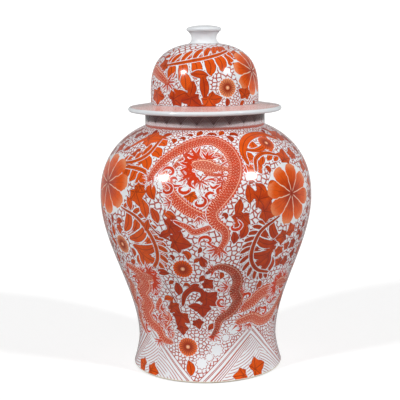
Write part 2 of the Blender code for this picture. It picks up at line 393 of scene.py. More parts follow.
# %% Canvas
class Canvas:
    """The painted outside of one or more sections. Each family of motifs keeps, for every vertex, the
    nearest motif's own coordinates and how deep inside that motif the vertex lies, in millimetres."""

    FAMILIES = ("cloud", "frond", "fern", "sprig", "coil", "dragon", "lotus", "aster")

    def __init__(self, skins, radius, height):
        self.skins = skins
        self.turn = np.concatenate([s["turn"][s["outside"]] for s in skins])
        self.height = np.concatenate([s["height"][s["outside"]] for s in skins]) / MM
        self.radius = np.concatenate([s["radius"][s["outside"]] for s in skins]) / MM
        self.profile_height, self.profile_radius = height[::-1] / MM, radius[::-1] / MM
        steps = np.hypot(np.diff(self.profile_height), np.diff(self.profile_radius))
        self.profile_length = np.append(0, np.cumsum(steps))
        self.length = self.length_at(self.height)
        total = len(self.turn)
        self.depth = {family: np.full(total, -30.0) for family in self.FAMILIES}
        self.tone = {family: np.full(total, 0.5) for family in self.FAMILIES}
        self.coords = {family: np.tile([0.0, 99.0, 0.0], (total, 1)) for family in self.FAMILIES}

    def length_at(self, height):
        """Arc length up the wall, in millimetres."""
        return np.interp(height, self.profile_height, self.profile_length)

    def radius_at(self, height):
        """Radius at a height, in millimetres."""
        return np.interp(height, self.profile_height, self.profile_radius)

    def offsets(self, near, degrees, height):
        """Sideways and upward distances of chosen vertices from points given in degrees and mm."""
        swing = self.turn[near, None] - np.radians(degrees)
        swing = (swing + math.pi) % (2 * math.pi) - math.pi
        side = swing * (self.radius[near, None] + self.radius_at(height)) / 2
        return side, self.length[near, None] - self.length_at(height)

    def near(self, degrees, height, margin):
        """Indices of the vertices within margin, in mm, of the box round the given points."""
        low, high = self.length_at(np.min(height)), self.length_at(np.max(height))
        band = (self.length > low - margin) & (self.length < high + margin)
        middle = np.radians((np.min(degrees) + np.max(degrees)) / 2)
        swing = (self.turn - middle + math.pi) % (2 * math.pi) - math.pi
        half = np.radians(np.ptp(degrees) / 2)
        return np.nonzero(band & ((np.abs(swing) - half) * self.radius < margin))[0]

    def keep(self, family, near, depth, coords, tone):
        """Gives the vertices that lie deeper in this motif than in any earlier one its coordinates."""
        won = depth > self.depth[family][near]
        self.depth[family][near[won]] = depth[won]
        self.coords[family][near[won]] = np.stack(coords, axis=1)[won]
        self.tone[family][near[won]] = tone

    def deepest(self, near):
        """The greatest depth, over all families, at chosen vertices."""
        return np.max([self.depth[family][near] for family in self.FAMILIES], axis=0)

    def store(self):
        """Writes each family's coordinates, depth and tone into the meshes, as attributes."""
        everywhere = np.arange(len(self.turn))
        fields = {"room": (-self.deepest(everywhere), 99.0)}
        for family in self.FAMILIES:
            fields[family + "_depth"] = (self.depth[family], -30.0)
            fields[family + "_tone"] = (self.tone[family], 0.5)
        start = 0
        for skin in self.skins:
            piece, outside = skin["piece"], skin["outside"]
            stop = start + int(outside.sum())
            for name, (values, elsewhere) in fields.items():
                column = np.full(len(outside), elsewhere)
                column[outside] = values[start:stop]
                store_layer(piece, name, column)
            for family in self.FAMILIES:
                place = np.tile([0.0, 99.0, 0.0], (len(outside), 1))
                place[outside] = self.coords[family][start:stop]
                store_layer(piece, family, place)
            start = stop

    def store_cells(self, scale, polar):
        """Coordinates for the cell ground that keep small shapes in proportion. Round the jar they are
        (azimuth, climb), with climb = the integral of 1 / radius along the wall. On the dome they are
        e^climb in the direction of the azimuth, so the top has no seam."""
        middle = (self.profile_radius[1:] + self.profile_radius[:-1]) / 2
        rise = np.diff(self.profile_length) / np.maximum(middle, 4.0)
        climb_at = np.append(0, np.cumsum(rise))
        for skin in self.skins:
            corner, turn = skin["corner_vertex"], skin["corner_turn"]
            height = skin["height"][corner] / MM
            climb = np.interp(height, self.profile_height, climb_at)
            if polar:
                ring = np.exp(-climb)
                chart = np.stack([ring * np.sin(turn), ring * np.cos(turn), 0 * turn], axis=1)
            else:
                chart = np.stack([turn, climb, 0 * turn], axis=1)
            store_layer(skin["piece"], "cells", chart * scale, "CORNER")


jar_canvas = Canvas([foot, lower, upper], *wall_strip(0.0, neck_base, 400))
lid_canvas = Canvas([dome], *dome_outside)
print("canvas points: jar %d, lid %d" % (len(jar_canvas.turn), len(lid_canvas.turn)))

# %% [markdown]
# ## Brush strokes and blooms
# Nearly all of the painting is strokes: a leaf is a short fat one, a fern a long curled one, and a
# dragon's body a very long one. A stroke needs a centre line and a half width. Every vertex near it then
# gets u, its distance along the line, v, its distance to one side of it, and w, the half width there.
# The materials draw ribs, veins and scales from those three, so their detail stays sharp at any size.


# %% Strokes
def smooth_line(knots, points):
    """Catmull-Rom curve through the knots: each stretch is the cubic whose slope at a knot is half the
    step between that knot's neighbours."""
    knots = np.asarray(knots, float)
    padded = np.vstack([2 * knots[0] - knots[1], knots, 2 * knots[-1] - knots[-2]])
    place = np.linspace(0, len(knots) - 1, points)
    i = np.minimum(place.astype(int), len(knots) - 2)
    t = (place - i)[:, None]
    a, b, c, d = padded[i], padded[i + 1], padded[i + 2], padded[i + 3]
    bent = (2 * a - 5 * b + 4 * c - d) * t**2 + (3 * b - a - 3 * c + d) * t**3
    return 0.5 * (2 * b + (c - a) * t + bent)


def shifted(knots, turn):
    """The knots of a field, turned to where the field lies."""
    return [(turn + a, z) for a, z in knots]


def half_width(t, start, middle, end):
    """Parabola through the half widths at the start, the middle and the end."""
    bulge = 2 * middle - (start + end) / 2
    return np.maximum(start * (1 - t) ** 2 + 2 * bulge * t * (1 - t) + end * t**2, 0.02)


def stroke(canvas, family, knots, widths, tone=0.5):
    """Lays a stroke through (degrees, mm) knots, widths being its half widths in mm."""
    count = max(10, 9 * len(knots))
    line = smooth_line(knots, count)
    near = canvas.near(line[:, 0], line[:, 1], max(widths) + 9)
    if len(near) == 0:
        return
    step_side = np.gradient(np.radians(line[:, 0])) * canvas.radius_at(line[:, 1])
    step_up = np.gradient(canvas.length_at(line[:, 1]))
    step = np.maximum(np.hypot(step_side, step_up), 1e-6)
    along = np.append(0, np.cumsum((step[1:] + step[:-1]) / 2))
    side, up = canvas.offsets(near, line[:, 0], line[:, 1])
    best = np.argmin(side**2 + up**2, axis=1)
    pick = np.arange(len(near))
    side, up = side[pick, best], up[pick, best]
    dir_side, dir_up = (step_side / step)[best], (step_up / step)[best]
    ahead = side * dir_side + up * dir_up
    across = dir_side * up - dir_up * side
    is_end = (best == 0) | (best == count - 1)
    beyond = is_end & (np.abs(ahead) > step[best] / 2)
    v = np.where(beyond, np.hypot(side, up) * np.where(across < 0, -1, 1), across)
    u = along[best] + np.where(beyond, 0, ahead)
    w = half_width(u / along[-1], *widths)
    canvas.keep(family, near, w - np.abs(v), (u, v, w), tone)


def bloom(canvas, family, degrees, height, radius, turn=0.0, tone=0.5, squeeze=1.0):
    """A round flower. Its coordinates are x/R and y/R from its centre, and R in millimetres."""
    near = canvas.near(np.array([degrees]), np.array([height]), 1.35 * radius * squeeze + 8)
    if len(near) == 0:
        return
    side, up = canvas.offsets(near, np.array([degrees]), np.array([height]))
    side, up = side[:, 0] / squeeze, up[:, 0]
    c, s = math.cos(math.radians(turn)), math.sin(math.radians(turn))
    x, y = (side * c + up * s) / radius, (up * c - side * s) / radius
    canvas.keep(family, near, radius * (1 - np.hypot(x, y)), (x, y, np.full(len(near), radius)), tone)


def leaf(canvas, degrees, height, length, heading, width, bend, tone, family="sprig", tip=0.05):
    """One leaf from its base, heading in degrees from straight up, turning by bend. width is a share of
    its length, and tip the half width at its end as a share of the greatest half width."""
    t = np.linspace(0, 1, 4)
    angle = np.radians(heading + bend * t)
    east = np.append(0, np.cumsum(np.sin(angle[:-1]) * length / 3))
    north = np.append(0, np.cumsum(np.cos(angle[:-1]) * length / 3))
    level = np.interp(canvas.length_at(height) + north, canvas.profile_length, canvas.profile_height)
    around = degrees + np.degrees(east / (canvas.radius_at(height) + canvas.radius_at(level)) * 2)
    half = length * width / 2
    stroke(canvas, family, np.stack([around, level], axis=1), (half * 0.45, half, half * tip), tone)


def maple(canvas, degrees, height, size, heading, tone=0.5):
    """An ivy-like leaf: five broad curved lobes of unequal length that fan out from the stalk."""
    lobes = ((-106, 0.58, -50), (-52, 0.92, -34), (0, 1.12, 16), (54, 0.80, 40), (104, 0.52, 55))
    for offset, share, bend in lobes:
        leaf(canvas, degrees, height, size * share, heading + offset, 0.72, bend, tone)


def fern(canvas, knots, lobes, fat_side, thin, fat, tone, turn=0):
    """A curled fern: a midrib with long lobes on its fat side (1 is the right of a fern that hangs
    down) and short ones on the other. Neighbouring lobes alternate between two families, so that each
    one shows its white margin against the next."""
    line = smooth_line(shifted(knots, turn), 8 * lobes + 1)
    levels = canvas.length_at(line[:, 1])
    steps = np.hypot(np.diff(np.radians(line[:, 0])) * canvas.radius_at(line[1:, 1]), np.diff(levels))
    spacing = steps.sum() / lobes
    for i in range(2 * lobes):
        t = (i + 0.6) / (2 * lobes)
        k = int(t * 8 * lobes)
        east = math.radians(line[k + 1, 0] - line[k - 1, 0]) * canvas.radius_at(line[k, 1])
        heading = math.degrees(math.atan2(east, levels[k + 1] - levels[k - 1]))
        swell = math.sin(math.pi * (0.2 + 0.66 * t)) ** 0.8
        sides = [(thin, 68, -30, spacing / 2 + 0.4, i % 2 == 1, 0.8)]
        if i % 2:
            sides.append((fat, -72, -66, spacing + 1.4, i % 4 == 1, 0.5))
        for reach_out, lean, bend, breadth, upper_layer, tip in sides:
            length = reach_out * swell
            family = "fern" if upper_layer else "frond"
            aim = heading + fat_side * lean
            leaf(canvas, *line[k], length, aim, breadth / length, fat_side * bend, tone, family, tip)
    stroke(canvas, "sprig", line[::4], (1.6, 3.4, 2.4), tone)


print("smooth line check:", np.round(smooth_line([(0, 0), (1, 2), (3, 3)], 5), 2).tolist())

# %% [markdown]
# ## The design on the jar
# The main field is painted twice, front and back. Two big lotus blooms hang at the shoulder. Below each
# one a fern curls down to the waist. The great dragon arches between them, and two more dragons climb
# from the foot. Small leaves and asters fill the field.

# %% Lotus, aster and fern
FIELDS = (0, 180)
WEST, EAST = -1, 1


def paint_flowers(canvas, turn):
    """The lotus blooms and asters of one field."""
    bloom(canvas, "lotus", turn + 50, 302, 48, 8, 0.55, 1.1)
    bloom(canvas, "lotus", turn - 65, 317, 49, -14, 0.5, 1.2)
    for degrees, height, radius, tone in (
        (-14, 193, 16, 0.3), (-16, 57, 16, 0.5), (-54, 222, 16, 0.75), (45, 379, 15, 0.4),
        (84, 236, 15, 0.5), (-88, 236, 14, 0.5), (88, 366, 13, 0.4), (73, 108, 13, 0.5),
    ):
        bloom(canvas, "aster", turn + degrees, height, radius, degrees, tone)


def paint_ferns(canvas, turn):
    """Curled ferns: the pair under the blooms and the smaller ones above them."""
    for knots, lobes, fat_side, thin, fat, tone in (
        ([(-49, 284), (-38, 272), (-31, 249), (-28, 225), (-29, 204), (-34, 190), (-41, 187)],
         10, WEST, 18, 44, 0.55),
        ([(40, 270), (29, 251), (25, 222), (26, 201), (31, 186), (39, 179)], 10, EAST, 19, 45, 0.3),
        ([(-56, 350), (-45, 355), (-37, 367), (-34, 386)], 5, WEST, 15, 25, 0.7),
        ([(-54, 345), (-43, 346), (-34, 341), (-31, 328)], 5, WEST, 13, 20, 0.7),
        ([(49, 360), (38, 366), (30, 359), (28, 343)], 4, WEST, 15, 24, 0.65),
        ([(92, 294), (84, 285), (79, 266), (80, 246), (88, 240)], 8, EAST, 19, 32, 0.5),
        ([(-98, 354), (-89, 342), (-86, 322), (-89, 300), (-97, 294)], 8, WEST, 18, 30, 0.5),
        ([(-84, 298), (-77, 281), (-73, 258), (-75, 238)], 7, WEST, 17, 28, 0.6),
    ):
        fern(canvas, knots, lobes, fat_side, thin, fat, tone, turn)


for field in FIELDS:
    paint_flowers(jar_canvas, field)
    paint_ferns(jar_canvas, field)
print("flowers and ferns laid on %d fields" % len(FIELDS))

# %% [markdown]
# ## Dragons
# A dragon is one long tapering stroke for the body, short ones for the legs and a fan of thin ones for
# each claw, flame and tuft of mane. The head is a skull, a snout, a jaw, two horns and whiskers.


# %% Dragons
def tuft(canvas, degrees, height, count, length, heading, spread, tone=0.8):
    """Flames or claws: thin pointed strokes that fan out from one point."""
    for i in range(count):
        angle = heading + spread * (i / max(count - 1, 1) - 0.5)
        family = "coil" if i % 2 else "dragon"
        leaf(canvas, degrees, height, length, angle, 0.2, 34 if i % 2 else 14, tone, family)


def dragon_head(canvas, degrees, height, side, scale=1.0):
    """Skull, snout and jaw as short fat strokes, with horns, whiskers and a mane of flames. side is 1
    to face right."""
    def at(points):
        return [(degrees + scale * side * a, height + scale * z) for a, z in points]

    def draw(points, widths, tone):
        stroke(canvas, "dragon", at(points), [scale * w for w in widths], tone)

    mane = ((-7, 3, 20, -100), (-5, 11, 20, -50), (0, 10, 15, 20), (-6, -7, 19, -130))
    for a, z, length, heading in mane:
        root = at([(a, z)])[0]
        tuft(canvas, *root, 7, scale * length, side * heading, 110, 0.5)
    draw([(-6, 4), (-1, 3), (4, 0)], (6, 9, 5), 0.95)
    draw([(2, 2), (6, -1), (8.5, -2)], (4, 5, 3.4), 0.95)
    draw([(-1, -6), (3, -9), (7, -9)], (3, 2.8, 1.2), 0.9)
    draw([(-3, 10), (-6, 17), (-11, 19)], (2.2, 1.7, 0.2), 0.9)
    draw([(8, -3), (11, -8), (9, -14), (12, -20)], (0.9, 1.2, 0.2), 0.9)
    draw([(6, 2), (10, 6), (14, 3)], (0.9, 1.1, 0.2), 0.9)


CURLS = (
    (-21, 318), (-16, 332), (-20, 342), (-12, 320), (-5, 330), (3, 325), (8, 318), (-9, 345), (-4, 300),
    (3, 310), (-52, 160), (-38, 150), (-58, 122), (-40, 108), (-56, 78), (-44, 96), (34, 112), (50, 130),
    (46, 106), (64, 138), (28, 140), (8, 160), (10, 136), (24, 84), (-74, 150), (-74, 110), (80, 132),
    (78, 96), (0, 240), (14, 262),
)


def paint_dragons(canvas, turn):
    """The great dragon of the shoulder and the two that climb from the foot."""
    # Each body's tone runs from dark red through red to pink. The low tone of the centre dragon under the
    # belly is partly painted shade; the high tones of the dragons low at the sides are partly a painted
    # pale sheen and partly pink enamel.
    bodies = (
        ("dragon", [(-31, 333), (-27, 352), (-20, 369), (-9, 383), (4, 387), (13, 377), (16.5, 358),
                    (15.5, 338), (12, 319), (7, 301), (3, 286), (4, 270), (9, 256), (9.5, 240), (6, 222)],
         (5, 11, 4), 0.42),
        ("coil", [(-26, 350), (-21, 330), (-17, 308), (-9, 288), (1, 275)], (5, 9, 6), 0.5),
        ("coil", [(-19, 346), (-13, 362), (-2, 371), (9, 364), (11, 350)], (3, 6, 3), 0.4),
        ("coil", [(2, 262), (-6, 254), (-10, 262), (-16, 270)], (4, 5, 2), 0.45),
        ("coil", [(14, 344), (20, 352), (22, 342)], (4, 4, 2), 0.45),
        ("dragon", [(0, 187), (7, 197), (15, 188), (19, 170), (18, 152), (21, 136), (17, 118), (9, 104),
                    (7, 88), (3, 74)],
         (3, 9, 3), 0.27),
        ("coil", [(20, 118), (31, 128), (40, 143), (52, 146), (62, 156), (74, 148)], (7, 12, 5), 0.7),
        ("dragon", [(24, 98), (35, 102), (45, 92), (56, 94), (64, 110), (68, 130)], (6, 9, 5), 0.78),
        ("dragon", [(-56, 186), (-46, 176), (-43, 158), (-50, 142), (-47, 124), (-53, 108), (-50, 90),
                    (-42, 80), (-38, 66), (-31, 62)], (5, 12, 5), 0.7),
        ("coil", [(-68, 166), (-62, 148), (-67, 128), (-62, 108), (-67, 86), (-60, 68)], (6, 10, 4), 0.8),
        ("coil", [(-34, 134), (-37, 118), (-31, 106), (-35, 92), (-29, 80), (-31, 66)], (4, 7, 3), 0.6),
        ("dragon", [(86, 190), (92, 170), (86, 150), (90, 128), (84, 106), (92, 88)], (5, 11, 5), 0.5),
    )
    for family, knots, widths, tone in bodies:
        stroke(canvas, family, shifted(knots, turn), widths, tone)
    dragon_head(canvas, turn + 1, 350, 1, 1.15)
    for i, (degrees, height) in enumerate(CURLS):
        angle = 2.4 * i + np.linspace(0, 4.6, 6)
        reach_out = 10 - np.arange(6) * 1.6
        around = turn + degrees + np.sin(angle) * reach_out * 0.45
        curl = np.stack([around, height + np.cos(angle) * reach_out], axis=1)
        stroke(canvas, "coil" if i % 2 else "dragon", curl, (0.8, 2.6, 1.4), 0.4 + 0.05 * (i % 8))
    dragon_head(canvas, turn - 43, 168, -1)
    dragon_head(canvas, turn + 60, 150, 1)
    for degrees, height, count, length, heading, spread in (
        (6, 228, 9, 20, 210, 170), (-18, 300, 5, 14, 250, 100), (-29, 336, 6, 15, 230, 120),
        (-4, 278, 5, 13, 170, 90), (9, 330, 5, 14, 250, 90), (6, 300, 4, 14, 280, 80),
        (-10, 337, 9, 17, 160, 300), (-3, 331, 7, 15, 150, 200), (8, 337, 7, 13, 120, 200),
        (-13, 366, 7, 17, 60, 160), (4, 192, 7, 14, 260, 120), (13, 162, 6, 15, 270, 120),
        (14, 118, 6, 15, 250, 120), (22, 150, 5, 12, 60, 100), (5, 78, 8, 13, 170, 220),
        (-36, 118, 5, 15, 80, 90), (-33, 84, 6, 14, 110, 120), (40, 118, 6, 17, 170, 110),
        (-58, 172, 8, 18, 300, 160), (-56, 96, 6, 17, 250, 120), (-40, 100, 6, 16, 100, 120),
        (-42, 62, 7, 15, 180, 160), (28, 104, 7, 16, 230, 140), (70, 118, 7, 17, 90, 160),
        (52, 118, 6, 15, 0, 120), (56, 128, 5, 14, 160, 90), (34, 92, 5, 14, 200, 90),
        (-56, 110, 5, 14, 250, 90),
    ):
        tuft(canvas, turn + degrees, height, count, length, heading, spread)


for field in FIELDS:
    paint_dragons(jar_canvas, field)
print("dragons laid")

# %% [markdown]
# ## Leaves
# Leaf sprays are listed one by one where they steer the eye. After them a filler looks for open ground,
# as a painter does at the end, and puts a small leaf wherever there is room for one.


# %% Leaf sprays
def paint_sprays(canvas, turn):
    """Leaves, maple leaves, stems and clouds of one field, listed one by one."""
    bloom(canvas, "cloud", turn - 8, 314, 19, 10)
    bloom(canvas, "cloud", turn - 23, 326, 11, 40)
    for degrees, height, radius in ((-5, 31, 11), (1, 41, 8), (7, 52, 12), (14, 72, 8), (20, 85, 11)):
        bloom(canvas, "cloud", turn + degrees, height, radius, 3 * height)
    # Tone runs from deep red (0) to orange (1). The low tones of the leaves and stems in the lower middle
    # of the field, under the belly, are partly painted shade and partly the enamel's own variation.
    for degrees, height, size, heading, tone in (
        (-8, 312, 12, 180, 0.7), (-17, 237, 20, 95, 0.25), (-36, 320, 13, 200, 0.6),
        (-19, 262, 19, 80, 0.25), (-1, 143, 19, 120, 0.18), (-4, 128, 15, 170, 0.12),
        (-19, 112, 17, 200, 0.25), (-26, 126, 14, 130, 0.3), (-8, 102, 11, 160, 0.15),
        (-20, 92, 12, 170, 0.25), (-1, 170, 12, 130, 0.15), (-59, 12, 14, 280, 0.6),
        (-50, 8, 15, 85, 0.6), (28, 9, 15, 265, 0.6), (38, 13, 19, 70, 0.6), (27, 300, 22, 80, 0.35),
        (18, 278, 18, 200, 0.3), (30, 281, 20, 100, 0.3), (-39, 312, 19, 150, 0.6),
        (64, 384, 19, 60, 0.5), (78, 330, 18, 20, 0.5), (102, 270, 18, 200, 0.5),
        (70, 208, 18, 150, 0.4), (-78, 196, 18, 190, 0.5), (52, 352, 17, 20, 0.5),
        (-46, 386, 20, 80, 0.7),
    ):
        maple(canvas, turn + degrees, height, 1.22 * size, heading, tone)
    for degrees, height, length, heading, bend, tone in (
        (-30, 326, 24, 170, -30, 0.5), (-34, 298, 24, 160, 20, 0.6), (-28, 286, 20, 150, 20, 0.45),
        (-21, 284, 17, 120, -30, 0.5), (-31, 268, 16, 200, 10, 0.5), (-11, 262, 17, 100, 20, 0.3),
        (-24, 246, 17, 60, 20, 0.25), (-3, 212, 18, 160, 20, 0.15), (-30, 184, 17, 80, 40, 0.3),
        (-19, 166, 19, 170, 30, 0.15), (-12, 128, 19, 90, 30, 0.15), (-10, 158, 15, 40, 40, 0.2),
        (-15, 32, 20, 160, 30, 0.5), (22, 320, 22, 170, 20, 0.4), (27, 322, 20, 130, 30, 0.4),
        (17, 300, 20, 190, 30, 0.3), (34, 318, 15, 60, 30, 0.45), (20, 262, 20, 190, 30, 0.3),
        (14, 252, 17, 170, 30, 0.25), (-60, 250, 17, 190, 20, 0.55), (-66, 200, 17, 200, 20, 0.55),
        (-44, 300, 17, 150, 30, 0.6),
    ):
        leaf(canvas, turn + degrees, height, 1.12 * length, heading, 0.66, bend, tone)
    for knots, widths, tone in (
        ([(-17, 130), (-15, 146), (-10, 158), (-4, 156), (-3, 146), (-7, 138)], (2.5, 5.0, 2.0), 0.18),
        ([(-30, 262), (-26, 250), (-18, 239), (-8, 236)], (1.0, 1.6, 0.7), 0.3),
        ([(-32, 192), (-25, 187), (-19, 178), (-17, 165)], (0.6, 0.9, 0.5), 0.3),
        ([(-30, 178), (-24, 148), (-20, 120), (-20, 96)], (0.7, 1.1, 0.6), 0.3),
        ([(-24, 306), (-21, 290), (-22, 274), (-15, 262), (-6, 258)], (0.8, 1.2, 0.6), 0.4),
        ([(14, 312), (22, 296), (22, 284)], (0.7, 1.0, 0.6), 0.5),
        ([(60, 382), (50, 391), (36, 390), (27, 382), (23, 368), (24, 354)], (3, 8, 3), 0.65),
        ([(52, 393), (44, 378), (34, 371), (26, 372)], (2, 5, 2), 0.6),
        ([(-58, 372), (-50, 385), (-40, 391), (-28, 388)], (2, 5, 1), 0.7),
    ):
        stroke(canvas, "sprig", shifted(knots, turn), widths, tone)


LARGEST_PLAIN_LEAF = 14


def fill_with_leaves(canvas, seed, low, high, room, size):
    """Tries a jittered lattice of places and puts a leaf where no motif is closer than room."""
    chance = np.random.default_rng(seed)
    rows = int((canvas.length_at(high) - canvas.length_at(low)) / 9)
    placed = 0
    for height in np.linspace(low, high, rows):
        columns = max(int(2 * math.pi * canvas.radius_at(height) / 9), 6)
        for i in range(columns):
            degrees = 360 * (i + chance.uniform(-0.4, 0.4)) / columns
            level = height + chance.uniform(-3, 3)
            heading, share = chance.uniform(0, 360), chance.uniform(0.7, 1.15)
            near = canvas.near(np.array([degrees]), np.array([level]), room)
            if len(near) == 0 or canvas.deepest(near).max() > -1.0:
                continue
            tone = chance.uniform(0.12, 0.55)
            if size > LARGEST_PLAIN_LEAF:
                maple(canvas, degrees, level, size * share, heading, tone)
            else:
                base = level - 0.4 * size
                leaf(canvas, degrees, base, size * share, heading * 0.2, 0.7, heading - 180, tone)
            placed += 1
    return placed


for field in FIELDS:
    paint_sprays(jar_canvas, field)
print("large leaves that fill the jar:", fill_with_leaves(jar_canvas, 4, 88, 388, 9.5, 16))
print("small leaves that fill the jar:", fill_with_leaves(jar_canvas, 5, 84, 397, 6.0, 14))

# %% [markdown]
# ## The design on the lid
# A long fern lies across the front of the dome, with a lotus to its right, an aster below and small
# leaves between. A ring of short ticks runs round the knob's foot.

# %% Lid painting
for field in FIELDS:
    midrib = ((-52, 498), (-28, 503), (-2, 509), (20, 515), (37, 520))
    fern(lid_canvas, midrib, 7, WEST, 27, 30, 0.6, field)
    bloom(lid_canvas, "lotus", field + 64, 488, 39, 12, 0.5, 1.1)
    bloom(lid_canvas, "aster", field + 24, 464, 15, 0, 0.75)
    tail = ((-92, 468), (-76, 490), (-58, 484), (-44, 474))
    stroke(lid_canvas, "dragon", shifted(tail, field), (6, 8, 5), 0.75)
    tuft(lid_canvas, field - 42, 472, 9, 17, 130, 200)
    for degrees, height, size, heading, tone in (
        (-60, 456, 21, 170, 0.45), (-34, 447, 19, 60, 0.35), (-14, 450, 20, 190, 0.25),
        (4, 448, 20, 150, 0.45), (46, 450, 16, 10, 0.45), (90, 455, 18, 40, 0.45),
        (-51, 500, 15, 250, 0.4), (45, 514, 13, 100, 0.5), (104, 500, 17, 200, 0.5),
    ):
        maple(lid_canvas, field + degrees, height, 1.2 * size, heading, tone)
    for degrees, height, length, heading, width, tone in (
        (-22, 486, 26, 165, 0.7, 0.75), (-12, 472, 22, 190, 0.7, 0.35), (-13, 486, 26, 90, 0.5, 0.4),
        (-2, 482, 36, 170, 0.42, 0.35), (36, 500, 20, 120, 0.6, 0.7), (88, 480, 22, 200, 0.6, 0.5),
    ):
        leaf(lid_canvas, field + degrees, height, length, heading, width, 20, tone)
TICKS = 24
for i in range(TICKS):
    start = 360 * i / TICKS
    stroke(lid_canvas, "sprig", [(start, 529.4), (start + 7, 528.8)], (0.5, 0.9, 0.3), 0.4)
print("leaves that fill the lid:", fill_with_leaves(lid_canvas, 9, 440, 514, 6.0, 12))
jar_canvas.store()
lid_canvas.store()
jar_canvas.store_cells(150.0, False)
lid_canvas.store_cells(150.0, True)

# %% [markdown]
# ## The foot's waves
# Round the foot runs a border of steep waves: white bands that cross at forty-five degrees, with fans of
# fine parallel strokes between them. Four identical units go round. The canvas stores the distance from
# the nearest band's edge, which band that is, and a coordinate that grows across the fan's strokes.


# %% Foot border
def store_border(canvas):
    """Distance inside each band's edge: d = ((x - x0) sin 45 + (z - z0) cos 45), with its sign for the
    falling band and mirrored for the rising one."""
    unit = 90.0
    degrees = (np.degrees(canvas.turn) + 44 + unit) % unit - 44
    x = np.radians(degrees) * WAIST_RADIUS / MM
    z = canvas.height
    root_half = math.sqrt(0.5)
    falling = -((x + 24) + (z - 2)) * root_half
    next_falling = -((x - np.radians(unit) * WAIST_RADIUS / MM + 24) + (z - 2)) * root_half
    rising = ((x + 12) - (z - 2)) * root_half
    from_right = np.minimum(rising, next_falling)
    top = 84 - z
    inside = np.maximum(np.minimum(falling, top), np.minimum(from_right, top))
    is_rising = (rising < next_falling) & (from_right > falling)
    fan_left = np.hypot(x + 130, z + 60)
    fan_right = np.hypot(x - 20, z - 118)
    fan = np.where(from_right > falling, fan_right, fan_left)
    start = 0
    for skin in canvas.skins:
        outside = skin["outside"]
        stop = start + int(outside.sum())
        values = np.zeros((len(outside), 3))
        values[outside, 0] = inside[start:stop] + 100
        values[outside, 1] = is_rising[start:stop]
        values[outside, 2] = fan[start:stop]
        store_layer(skin["piece"], "border", values)
        start = stop


store_border(jar_canvas)
print("border stored")

# %% [markdown]
# ## Sums as shader nodes
# The painting's fine detail is arithmetic on u, v and w. A small class lets that arithmetic be written
# as formulas: each operation on a Wire adds one Math node to the tree.


# %% Wires
class Wire:
    """A number that runs through a shader tree."""

    def __init__(self, tree, socket):
        self.tree, self.socket = tree, socket

    def __add__(self, other):
        return calc("ADD", self, other)

    def __sub__(self, other):
        return calc("SUBTRACT", self, other)

    def __rsub__(self, other):
        return calc("SUBTRACT", other, self)

    def __mul__(self, other):
        return calc("MULTIPLY", self, other)

    def __truediv__(self, other):
        return calc("DIVIDE", self, other)

    __radd__, __rmul__ = __add__, __mul__


def calc(operation, *terms):
    """One Math node over wires and plain numbers."""
    tree = next(term.tree for term in terms if isinstance(term, Wire))
    node = tree.nodes.new("ShaderNodeMath")
    node.operation = operation
    for socket, term in zip(node.inputs, terms):
        if isinstance(term, Wire):
            tree.links.new(term.socket, socket)
        else:
            socket.default_value = term
    return Wire(tree, node.outputs[0])


def ramp(value, low, high):
    """0 below low and 1 above high, with a smooth step between; falls instead if low > high."""
    node = value.tree.nodes.new("ShaderNodeMapRange")
    node.interpolation_type = "SMOOTHSTEP"
    value.tree.links.new(value.socket, node.inputs["Value"])
    low, high, ends = (low, high, (0, 1)) if low < high else (high, low, (1, 0))
    for name, number in (("From Min", low), ("From Max", high), ("To Min", ends[0]), ("To Max", ends[1])):
        node.inputs[name].default_value = number
    return Wire(value.tree, node.outputs["Result"])


def blend(mask, under, over):
    """Colour under where the mask is 0, and over where it is 1."""
    tree = mask.tree
    node = tree.nodes.new("ShaderNodeMix")
    node.data_type = "RGBA"
    tree.links.new(mask.socket, node.inputs[0])
    for socket, colour in ((node.inputs[6], under), (node.inputs[7], over)):
        if isinstance(colour, Wire):
            tree.links.new(colour.socket, socket)
        else:
            socket.default_value = (*colour, 1.0)
    return Wire(tree, node.outputs[2])


def either(*masks):
    """The greatest of several masks."""
    result = masks[0]
    for mask in masks[1:]:
        result = calc("MAXIMUM", result, mask)
    return result


def part(value):
    """Fraction of a value, 0 to 1."""
    return calc("FRACT", value)


def absolute(value):
    """Absolute value."""
    return calc("ABSOLUTE", value)


def stripes(value, period, outer, inner):
    """Lines one period apart: 1 within inner of each line, 0 beyond outer."""
    return ramp(absolute(part(value / period) - 0.5) * period, outer, inner)


def noise(tree, scale, detail=2.0):
    """Noise over the object's own coordinates, 0 to 1. scale is features per metre."""
    place = tree.nodes.new("ShaderNodeTexCoord")
    node = tree.nodes.new("ShaderNodeTexNoise")
    node.inputs["Scale"].default_value = scale
    node.inputs["Detail"].default_value = detail
    tree.links.new(place.outputs["Object"], node.inputs["Vector"])
    return Wire(tree, node.outputs[0])


def stored(tree, name, suffixes=("", "_depth", "_tone")):
    """The three numbers that the canvas stored for a family, with its depth and its tone."""
    wires = []
    for suffix in suffixes:
        node = tree.nodes.new("ShaderNodeAttribute")
        node.attribute_name = name + suffix
        if suffix:
            wires.append(Wire(tree, node.outputs["Fac"]))
            continue
        split = tree.nodes.new("ShaderNodeSeparateXYZ")
        tree.links.new(node.outputs["Vector"], split.inputs[0])
        wires += [Wire(tree, s) for s in split.outputs]
    return wires


def new_group(name, inputs, outputs):
    """An empty node group with named float inputs and (name, socket type) outputs."""
    tree = bpy.data.node_groups.new(name, "ShaderNodeTree")
    for label in inputs:
        tree.interface.new_socket(label, in_out="INPUT", socket_type="NodeSocketFloat")
    for label, kind in outputs:
        tree.interface.new_socket(label, in_out="OUTPUT", socket_type=kind)
    entry, leave = tree.nodes.new("NodeGroupInput"), tree.nodes.new("NodeGroupOutput")
    return tree, [Wire(tree, s) for s in entry.outputs[: len(inputs)]], leave


